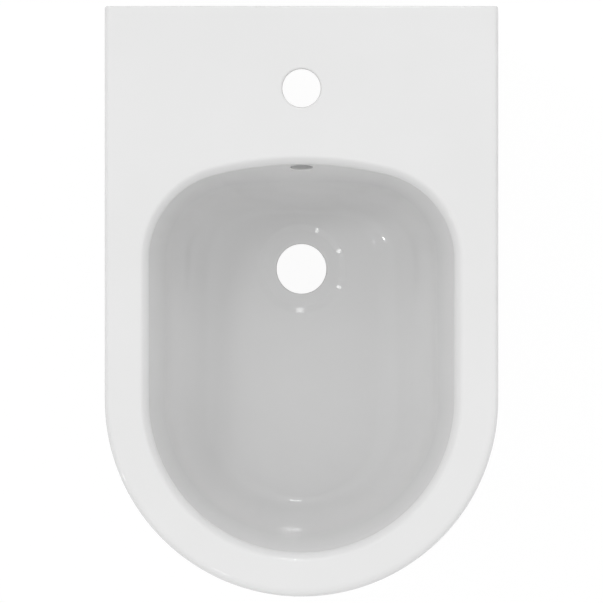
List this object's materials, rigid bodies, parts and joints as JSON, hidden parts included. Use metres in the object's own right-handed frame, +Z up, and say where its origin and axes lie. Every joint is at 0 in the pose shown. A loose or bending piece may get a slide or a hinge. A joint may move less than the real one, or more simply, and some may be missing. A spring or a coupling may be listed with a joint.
{
  "type": "floor standing bidet",
  "caption": "Back-to-wall floor standing bidet of white glazed china with a D-shaped bowl, tap hole, waste hole, overflow slot and concealed floor fixings.",
  "frame": {"origin": "on the floor, under the middle of the rectangle that bounds the outline", "axes": "+Z up, +Y towards the wall, +X to the right of someone who faces the wall"},
  "size_m": [0.36, 0.54, 0.4],
  "materials": {
    "glazed_china": "glossy white glaze over vitreous china",
    "grey_nylon": "moulded, matt",
    "white_nylon": "moulded, matt",
    "white_cap": "moulded, gloss",
    "plated_steel": "bright zinc plate"
  },
  "bodies": {
    "body": {"ceramic_body": "glazed_china", "floor_bracket_left": "grey_nylon", "floor_bracket_right": "grey_nylon", "bracket_nut_left": "plated_steel", "bracket_nut_right": "plated_steel", "side_bush_left": "white_nylon", "side_bush_right": "white_nylon", "side_screw_left": "plated_steel", "side_screw_right": "plated_steel", "screw_washer_left": "plated_steel", "screw_washer_right": "plated_steel"},
    "cap_left": {"cover_cap_left": "white_cap"},
    "cap_right": {"cover_cap_right": "white_cap"}
  },
  "joints": [
    {"name": "cap_left_pull", "type": "slide", "parent": "body", "child": "cap_left", "axis": [-1, 0, 0], "range_m": [0, 0.02]},
    {"name": "cap_right_pull", "type": "slide", "parent": "body", "child": "cap_right", "axis": [1, 0, 0], "range_m": [0, 0.02]}
  ]
}
